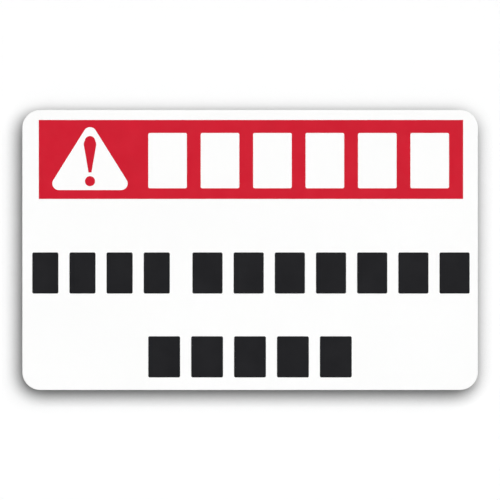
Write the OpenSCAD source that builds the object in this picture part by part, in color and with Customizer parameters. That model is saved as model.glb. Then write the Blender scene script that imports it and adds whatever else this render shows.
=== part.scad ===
// Warning sign: a die-cut plastic sheet with round corners, printed on its front in red and black.
// The sign stands upright as it hangs in use: +X to the right, +Z up, and the print faces -Y.
// The origin is the middle of the flat back face, which goes against the wall or post plate.

/* [Sheet] */
// Width of the sign
panel_w = 330; // [260:1:480]
// Height of the sign
panel_h = 203; // [170:1:320]
// Thickness of the plastic sheet
panel_t = 1.5; // [0.75:0.25:3]
// Radius of the four round corners
corner_r = 13; // [6:0.5:24]
// Radius that the cutting die rolls onto the front edge
edge_r = 0.4; // [0.2:0.1:0.6]

/* [Print] */
// Thickness of the red and black films on the front face
film_t = 0.1; // [0.05:0.05:0.3]
// How far the print sits to the right of the sheet's middle
print_shift = 0.7; // [-1.5:0.1:1.5]

/* [Header band] */
// Distance from each end of the band to the side of the sheet
band_side = 11.3; // [4:0.1:20]
// Distance from the band to the top of the sheet
band_top = 7.3; // [4:0.1:14]
// Height of the band
band_h = 57.2; // [44:0.1:70]

/* [Warning triangle] */
// Width of the triangle over its round corners
triangle_w = 54.6; // [44:0.1:66]
// Radius of the triangle's corners
triangle_r = 4.8; // [2:0.1:7]
// Distance from the left end of the band to the triangle
triangle_end = 9.8; // [4:0.1:16]
// Height of the triangle's base above the lower edge of the band
triangle_rise = 6.4; // [3:0.1:9]
// Distance from the triangle's apex to the upper edge of the band
triangle_drop = 5.2; // [3:0.1:9]

/* [Exclamation mark] */
// Width of the stem at its widest
stem_w = 9; // [7:0.1:11]
// Width of the stem's round top
stem_top_w = 7.5; // [5:0.1:9]
// Width of the stem's flat foot
stem_foot_w = 2.1; // [1.5:0.1:4]
// Gap between the stem's top and the apex of the triangle
stem_drop = 6.4; // [3:0.1:9]
// Distance between the centres of the stem's widest arc and its top arc
stem_arc_gap = 2.3; // [2:0.1:5]
// Diameter of the dot
dot_d = 7.3; // [5:0.1:8]
// Gap between the dot and the stem
dot_gap = 2.7; // [1.5:0.1:4]
// Gap between the dot and the base of the triangle
dot_rise = 2.8; // [2:0.1:5]

/* [Blocks in the band] */
// Number of white blocks in the band
band_blocks = 6; // [3:1:8]
// Gap between white blocks
band_block_gap = 10; // [6:0.1:14]
// Height of the white blocks above the lower edge of the band
band_block_rise = 7.7; // [3:0.1:12]
// Distance from the white blocks to the upper edge of the band
band_block_drop = 9.4; // [3:0.1:12]
// Distance from the triangle to the first white block
band_block_start = 14.9; // [8:0.1:24]
// Distance from the last white block to the right end of the band
band_block_end = 10.2; // [4:0.1:20]

/* [Black rows] */
// Height of the black blocks
row_h = 29.8; // [20:0.1:32]
// Gap between black blocks
row_gap = 8; // [4:0.1:10]
// Distance from the first row to each side of the sheet
row_side = 6.6; // [4:0.1:14]
// Width of the first group in the first row
lead_group_w = 99.6; // [70:0.1:110]
// Gap between the two groups of the first row
group_gap = 16.4; // [10:0.1:24]
// Number of blocks in the first group
lead_blocks = 4; // [2:1:6]
// Number of blocks in the second group
tail_blocks = 7; // [3:1:8]
// Width of the second row
last_row_w = 147.4; // [100:0.1:200]
// Number of blocks in the second row
last_row_blocks = 5; // [3:1:8]
// Distance from the second row to the bottom of the sheet
last_row_rise = 9.2; // [4:0.1:14]
// How far the first row sits below the middle of the space over the second row
first_row_drop = 3.9; // [0:0.1:6]
// Corner radius of every block
block_r = 1.2; // [0.5:0.1:2]

/* [Hidden] */

$fn = 96;

// Straight sides of the print run this far inside the arcs that they meet, so that they join
lap = 0.001;

// Colours of the sheet and of its two inks
sheet_white = "#fafafa";
print_red = "#d02234";
print_black = "#252527";

// Centres of the sheet's corner arcs, as distances from its middle
corner_x = panel_w / 2 - corner_r;
corner_y = panel_h / 2 - corner_r;

// The band runs across the sheet under its top margin
band_w = panel_w - 2 * band_side;
band_left = print_shift - band_w / 2;
band_right = band_left + band_w;
band_low = panel_h / 2 - band_top - band_h;

// The triangle stands at the left end of the band
triangle_x = band_left + triangle_end + triangle_w / 2;
triangle_low = band_low + triangle_rise;
triangle_right = triangle_x + triangle_w / 2;
triangle_h = band_h - triangle_rise - triangle_drop;

// The mark stands on the triangle's middle line: the dot first, then the stem
dot_y = triangle_low + dot_rise + dot_d / 2;
stem_low = dot_y + dot_d / 2 + dot_gap;
stem_h = triangle_low + triangle_h - stem_drop - stem_low;

// White blocks fill the rest of the band
band_block_left = triangle_right + band_block_start;
band_block_right = band_right - band_block_end;
band_block_h = band_h - band_block_rise - band_block_drop;

// The first row spans the sheet, and its second group takes what the first leaves
row_left = print_shift - panel_w / 2 + row_side;
row_right = print_shift + panel_w / 2 - row_side;
tail_left = row_left + lead_group_w + group_gap;

// The second row stands over the bottom margin, and the first shares the height left above it
last_row_low = last_row_rise - panel_h / 2;
spare_h = band_low - last_row_low - 2 * row_h;
first_row_low = last_row_low + row_h + spare_h / 2 - first_row_drop;

// Section through the sheet's edge, from a corner centre outwards: a plain back edge and a
// quarter-round front edge
module edge_section() {
    square([corner_r, panel_t - edge_r]);
    square([corner_r - edge_r, panel_t]);
    translate([corner_r - edge_r, panel_t - edge_r]) circle(edge_r);
}

// One straight edge of the sheet, its section swept along a length at a distance from the middle
module straight_edge(length, distance) {
    translate([distance, 0, 0])
        rotate([90, 0, 0])
            linear_extrude(length, center = true) edge_section();
}

// The sheet lying on its back, with its front face up
module sheet() {
    linear_extrude(panel_t) square([2 * corner_x, 2 * corner_y], center = true);
    for (turn = [0, 180]) rotate(turn) straight_edge(2 * corner_y, corner_x);
    for (turn = [90, 270]) rotate(turn) straight_edge(2 * corner_x, corner_y);
    for (side_x = [0, 1], side_y = [0, 1])
        mirror([side_x, 0, 0]) mirror([0, side_y, 0])
            translate([corner_x, corner_y, 0]) rotate_extrude(angle = 90) edge_section();
}

// Stands a flat shape upright as film on the front face of the sheet
module film() {
    translate([0, -panel_t, 0])
        rotate([90, 0, 0])
            linear_extrude(film_t) children();
}

// Rectangle with round corners, given by its left, lower corner
module block(left, low, w, h) {
    translate([left + lap, low + block_r]) square([w - 2 * lap, h - 2 * block_r]);
    translate([left + block_r, low + lap]) square([w - 2 * block_r, h - 2 * lap]);
    for (x = [left + block_r, left + w - block_r], y = [low + block_r, low + h - block_r])
        translate([x, y]) circle(block_r);
}

// Equal blocks side by side, filling the width from left to right
module block_row(left, right, low, h, count, gap) {
    w = (right - left - (count - 1) * gap) / count;
    for (i = [0:count - 1]) block(left + i * (w + gap), low, w, h);
}

// Triangle with straight sides tangent to three equal corner arcs, standing on y = 0
module round_triangle() {
    foot = [triangle_w / 2 - triangle_r, triangle_r];
    apex = [0, triangle_h - triangle_r];
    // the right side faces this far above the level, and touches its two arcs in that direction
    lean = atan2(foot.x, apex.y - foot.y);
    touch = (triangle_r - lap) * [cos(lean), sin(lean)];
    polygon([
        [-foot.x, lap], [foot.x, lap],
        foot + touch, apex + touch,
        apex + [-touch.x, touch.y], [-foot.x - touch.x, foot.y + touch.y]
    ]);
    translate(apex) circle(triangle_r);
    for (side = [-1, 1]) translate([side * foot.x, foot.y]) circle(triangle_r);
}

// Stem of the mark, standing on y = 0: a round top and a wider arc under it, joined by tangents,
// with two straight sides that run tangent from the wider arc down to a narrow flat foot
module stem() {
    wide_r = stem_w / 2;
    top_r = stem_top_w / 2;
    foot_x = stem_foot_w / 2;
    top = [0, stem_h - top_r];
    wide = [0, top.y - stem_arc_gap];
    // how far the long sides face below the level, and the short upper ones above it
    fall = asin(wide_r / norm([foot_x, wide.y])) - atan2(foot_x, wide.y);
    rise = asin((wide_r - top_r) / stem_arc_gap);
    right_side = [
        [foot_x, 0],
        wide + (wide_r - lap) * [cos(fall), -sin(fall)],
        wide + (wide_r - lap) * [cos(rise), sin(rise)],
        top + (top_r - lap) * [cos(rise), sin(rise)]
    ];
    polygon(concat(right_side, [for (i = [3:-1:0]) [-right_side[i].x, right_side[i].y]]));
    translate(wide) circle(wide_r);
    translate(top) circle(top_r);
}

module sign_panel() {
    color(sheet_white) rotate([90, 0, 0]) sheet();
}

module header_band() {
    color(print_red) film() difference() {
        translate([band_left, band_low]) square([band_w, band_h]);
        translate([triangle_x, triangle_low]) round_triangle();
        block_row(band_block_left, band_block_right, band_low + band_block_rise,
                  band_block_h, band_blocks, band_block_gap);
    }
}

module exclamation_mark() {
    color(print_red) film() {
        translate([triangle_x, dot_y]) circle(dot_d / 2);
        translate([triangle_x, stem_low]) stem();
    }
}

module first_row() {
    color(print_black) film() {
        block_row(row_left, row_left + lead_group_w, first_row_low, row_h, lead_blocks, row_gap);
        block_row(tail_left, row_right, first_row_low, row_h, tail_blocks, row_gap);
    }
}

module second_row() {
    color(print_black) film()
        block_row(-last_row_w / 2, last_row_w / 2, last_row_low, row_h, last_row_blocks, row_gap);
}

sign_panel();
header_band();
exclamation_mark();
first_row();
second_row();
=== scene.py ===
# Looks, stage, lights and camera for the printed warning sign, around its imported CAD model.
# Lengths are in metres, in the CAD's own frame: +X to the right, +Z up, and the print faces -Y.
import math

import bpy
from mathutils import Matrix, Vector


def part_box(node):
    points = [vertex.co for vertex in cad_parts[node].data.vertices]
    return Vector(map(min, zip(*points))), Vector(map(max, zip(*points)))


# Camera: straight in front of the sign, at the distance that gives the photo's framing
LENS_MM = 200
SENSOR_MM = 36
PICTURE_W = 0.3622  # width of the picture at the sheet's front face

# Stage
WALL_GAP = 0.01  # from the sign's back to the wall that carries its shadow
WALL_SIZE = 6.0  # wide enough to fill the picture from any side in front
FLOOR_SIZE = 4.4
FLOOR_DROP = 1.4  # from the middle of the sign down to the floor

# Painted contact shade in the wall's colour: how near the sign has to be, how deep the painted
# shade goes, and the direction in which the wall looks for the sign, high on the right as the key
# light is
CONTACT_REACH = 0.0168
CONTACT_POWER = 2.5
CONTACT_LEAN = (0.1, -1, 0.83)
CONTACT_SAMPLES = 32

# Room
ROOM_PALE = (0.605, 0.61, 0.615)
ROOM_FILL = 0.035  # even light that the room gives
ROOM_SHEEN = 0.25  # brightness of the room in reflections
FLOOR_GLOW = 0.08  # what the floor needs, beside its light, to look as pale as the room

# Lights: direction that each one comes from, strength, and angle in degrees that it fills
KEY_FROM = (0.34, -1, 0.385)
KEY_STRENGTH = 3.28
KEY_ANGLE = 80
REAR_FROM = (1, 0.62, 0.42)
REAR_STRENGTH = 2.4
REAR_ANGLE = 40

# Colours, linear: the two ends of each surface's patches
WHITE = ((0.970, 0.971, 0.966), (0.984, 0.984, 0.980))
RED = ((0.592, 0.0052, 0.0220), (0.632, 0.0072, 0.0260))
BLACK = ((0.0090, 0.0090, 0.0106), (0.0122, 0.0122, 0.0140))

# Surfaces: size of the colour patches, the grain and the streaks, height of the relief, range of
# the roughness, and strength of the reflection
PLASTIC = {"patch": 0.07, "grain": 0.0022, "streak": 0.0035, "relief": 3.5e-5,
           "rough": (0.36, 0.46), "specular": 0.4}
INK = {"patch": 0.02, "grain": 0.0009, "streak": 0.0012, "relief": 1.2e-5,
       "rough": (0.42, 0.54), "specular": 0.22}

# Noise in the surfaces
NOISE_MIDDLE = (0.3, 0.7)  # nearly all of a noise lies between these
PATCH_DETAIL = 4
GLOSS_DETAIL = 3
RELIEF_DETAIL = 2
GLOSS_FINER = 3  # how many times as fine as the colour patches the gloss varies
STREAK_RUN = (24, 1, 1)  # how many times as long as wide the streaks are, along the sheet


def add_node(tree, kind, settings=(), **inputs):
    """Adds a node, sets its properties, and gives each named input a value or a link."""
    node = tree.nodes.new(kind)
    for name, value in dict(settings).items():
        setattr(node, name, value)
    for name, value in inputs.items():
        socket = node.inputs[name.replace("_", " ")]
        if isinstance(value, bpy.types.NodeSocket):
            tree.links.new(value, socket)
        else:
            socket.default_value = value
    return node


def noise(tree, size, detail, stretch=(1, 1, 1)):
    """Noise fixed to the object, with features of about this size, stretched along the axes."""
    place = add_node(tree, "ShaderNodeTexCoord").outputs["Object"]
    scaled = add_node(tree, "ShaderNodeMapping", Vector=place, Scale=[1 / s for s in stretch])
    texture = add_node(tree, "ShaderNodeTexNoise", Vector=scaled.outputs["Vector"],
                       Scale=1 / size, Detail=detail)
    return texture.outputs["Fac"]


def spread(tree, factor, low, high):
    """Maps the middle of a noise onto the range from low to high."""
    node = add_node(tree, "ShaderNodeMapRange", Value=factor, From_Min=NOISE_MIDDLE[0],
                    From_Max=NOISE_MIDDLE[1], To_Min=low, To_Max=high)
    return node.outputs["Result"]


def between(tree, factor, first, second):
    """A colour that runs from the first to the second with the factor."""
    node = add_node(tree, "ShaderNodeMix", {"data_type": "RGBA"}, Factor=factor)
    colours = [s for s in node.inputs if s.type == "RGBA"]
    colours[0].default_value = (*first, 1)
    colours[1].default_value = (*second, 1)
    return [s for s in node.outputs if s.type == "RGBA"][0]


def surface(name, colours, look):
    """A satin surface: soft patches of colour, uneven gloss, and a grain with faint streaks."""
    material = bpy.data.materials.new(name)
    material.use_nodes = True
    tree = material.node_tree
    shader = tree.nodes["Principled BSDF"]
    patches = spread(tree, noise(tree, look["patch"], PATCH_DETAIL), 0, 1)
    gloss = spread(tree, noise(tree, look["patch"] / GLOSS_FINER, GLOSS_DETAIL), *look["rough"])
    height = add_node(tree, "ShaderNodeMath", {"operation": "ADD"})
    tree.links.new(noise(tree, look["grain"], RELIEF_DETAIL), height.inputs[0])
    tree.links.new(noise(tree, look["streak"], RELIEF_DETAIL, STREAK_RUN), height.inputs[1])
    relief = add_node(tree, "ShaderNodeBump", Height=height.outputs["Value"],
                      Distance=look["relief"])
    tree.links.new(between(tree, patches, *colours), shader.inputs["Base Color"])
    tree.links.new(gloss, shader.inputs["Roughness"])
    tree.links.new(relief.outputs["Normal"], shader.inputs["Normal"])
    shader.inputs["Specular IOR Level"].default_value = look["specular"]
    return material


def dress(node_name, material):
    """Gives a CAD node its material, in its only slot."""
    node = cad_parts[node_name]
    node.data.materials.clear()
    node.data.materials.append(material)


def stage_material(name):
    """An empty material for the stage, with its tree and output node."""
    material = bpy.data.materials.new(name)
    material.use_nodes = True
    tree = material.node_tree
    tree.nodes.clear()
    return material, tree, add_node(tree, "ShaderNodeOutputMaterial")


def wall_material():
    """White with painted shade that darkens it where the sign stands close, and clear from behind.
    """
    material, tree, output = stage_material("stage_wall")
    lean = add_node(tree, "ShaderNodeVectorMath", {"operation": "NORMALIZE"}, Vector=CONTACT_LEAN)
    near = add_node(tree, "ShaderNodeAmbientOcclusion", {"samples": CONTACT_SAMPLES},
                    Distance=CONTACT_REACH, Normal=lean.outputs["Vector"])
    # painted shade: the wall's colour darkens near the sign, on top of the key lamp's real shadow
    painted_shade = add_node(tree, "ShaderNodeMath", {"operation": "POWER"})
    tree.links.new(near.outputs["AO"], painted_shade.inputs[0])
    painted_shade.inputs[1].default_value = CONTACT_POWER
    white = add_node(tree, "ShaderNodeBsdfDiffuse", Color=painted_shade.outputs["Value"])
    clear = add_node(tree, "ShaderNodeBsdfTransparent")
    behind = add_node(tree, "ShaderNodeNewGeometry").outputs["Backfacing"]
    mix = add_node(tree, "ShaderNodeMixShader", Fac=behind)
    tree.links.new(white.outputs["BSDF"], mix.inputs[1])
    tree.links.new(clear.outputs["BSDF"], mix.inputs[2])
    tree.links.new(mix.outputs["Shader"], output.inputs["Surface"])
    return material


def floor_material():
    """A pale floor that keeps shadows and reads as pale as the room to the camera."""
    material, tree, output = stage_material("stage_floor")
    pale = add_node(tree, "ShaderNodeBsdfDiffuse", Color=(*ROOM_PALE, 1))
    seen = add_node(tree, "ShaderNodeLightPath").outputs["Is Camera Ray"]
    level = add_node(tree, "ShaderNodeMapRange", Value=seen, To_Max=FLOOR_GLOW)
    glow = add_node(tree, "ShaderNodeEmission", Strength=level.outputs["Result"])
    both = add_node(tree, "ShaderNodeAddShader")
    tree.links.new(pale.outputs["BSDF"], both.inputs[0])
    tree.links.new(glow.outputs["Emission"], both.inputs[1])
    tree.links.new(both.outputs["Shader"], output.inputs["Surface"])
    return material


def stage_plane(name, corners, material):
    """A flat stage object whose front is the side from which the corners run anticlockwise."""
    mesh = bpy.data.meshes.new(name)
    mesh.from_pydata(corners, [], [(0, 1, 2, 3)])
    mesh.materials.append(material)
    plane = bpy.data.objects.new(name, mesh)
    bpy.context.scene.collection.objects.link(plane)
    return plane


def make_stage():
    """The wall behind the sign, which shows only from the front, and the floor under it."""
    half = WALL_SIZE / 2
    low = -FLOOR_DROP
    wall = stage_plane("wall", [(-half, WALL_GAP, low), (half, WALL_GAP, low),
                                (half, WALL_GAP, half), (-half, WALL_GAP, half)], wall_material())
    # the wall takes the sign's shadow, and gives the sign no light, shade or reflection back
    wall.visible_shadow = False
    wall.visible_diffuse = False
    wall.visible_glossy = False
    reach = FLOOR_SIZE / 2
    stage_plane("floor", [(-reach, -reach, low), (reach, -reach, low),
                          (reach, reach, low), (-reach, reach, low)], floor_material())


def sun(name, from_direction, strength, angle):
    """A distant soft lamp that shines from a direction towards the sign."""
    lamp = bpy.data.lights.new(name, "SUN")
    lamp.energy = strength
    lamp.angle = math.radians(angle)
    holder = bpy.data.objects.new(name, lamp)
    holder.location = Vector(from_direction)
    holder.rotation_mode = "QUATERNION"
    holder.rotation_quaternion = Vector(from_direction).to_track_quat("Z", "Y")
    bpy.context.scene.collection.objects.link(holder)
    return holder


def make_lights():
    """A broad soft key lamp in front, high on the right, and two behind for edges and back."""
    key = sun("key", KEY_FROM, KEY_STRENGTH, KEY_ANGLE)
    # kept out of reflections, as a polarised lamp is when prints are copied: no glare on the sheet
    key.visible_glossy = False
    x, y, z = REAR_FROM
    for side in (-1, 1):
        rear = sun("rear", (side * x, y, z), REAR_STRENGTH, REAR_ANGLE)
        # what these lamps light is seen directly, and doesn't shine on into the wall's shadow
        rear.data.cycles.max_bounces = 0


def make_world():
    """A pale room for the camera, dimmer in reflections, and a weak even fill for the rest."""
    world = bpy.data.worlds.new("room")
    bpy.context.scene.world = world
    world.use_nodes = True
    tree = world.node_tree
    background = tree.nodes["Background"]
    background.inputs["Color"].default_value = (*ROOM_PALE, 1)
    path = add_node(tree, "ShaderNodeLightPath")
    # each strength brings the pale colour to the brightness that its rays should find
    level = ROOM_FILL / ROOM_PALE[1]
    for kind, strength in (("Is Glossy Ray", ROOM_SHEEN / ROOM_PALE[1]), ("Is Camera Ray", 1.0)):
        choice = add_node(tree, "ShaderNodeMix", Factor=path.outputs[kind], A=level, B=strength)
        level = choice.outputs["Result"]
    tree.links.new(level, background.inputs["Strength"])


def make_camera():
    """Looks straight at the print, with the picture's width as in the photo."""
    data = bpy.data.cameras.new("camera")
    data.lens = LENS_MM
    data.sensor_width = SENSOR_MM
    camera = bpy.data.objects.new("camera", data)
    # the sheet's front face is at its lowest y
    front_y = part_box("sign_panel")[0].y
    distance = PICTURE_W * LENS_MM / SENSOR_MM
    camera.location = (0, front_y - distance, 0)
    camera.rotation_euler = (math.radians(90), 0, 0)
    bpy.context.scene.collection.objects.link(camera)
    bpy.context.scene.camera = camera


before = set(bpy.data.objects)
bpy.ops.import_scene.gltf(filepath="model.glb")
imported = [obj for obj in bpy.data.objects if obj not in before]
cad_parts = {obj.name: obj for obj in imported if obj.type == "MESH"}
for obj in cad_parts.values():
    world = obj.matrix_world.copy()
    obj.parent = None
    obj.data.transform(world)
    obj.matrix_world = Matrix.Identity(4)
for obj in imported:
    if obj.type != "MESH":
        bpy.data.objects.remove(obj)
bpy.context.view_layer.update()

plastic = surface("white_sheet", WHITE, PLASTIC)
red_ink = surface("red_ink", RED, INK)
black_ink = surface("black_ink", BLACK, INK)
dress("sign_panel", plastic)
dress("header_band", red_ink)
dress("exclamation_mark", red_ink)
dress("first_row", black_ink)
dress("second_row", black_ink)

make_stage()
make_lights()
make_world()
make_camera()
bpy.context.scene.view_settings.view_transform = "Standard"
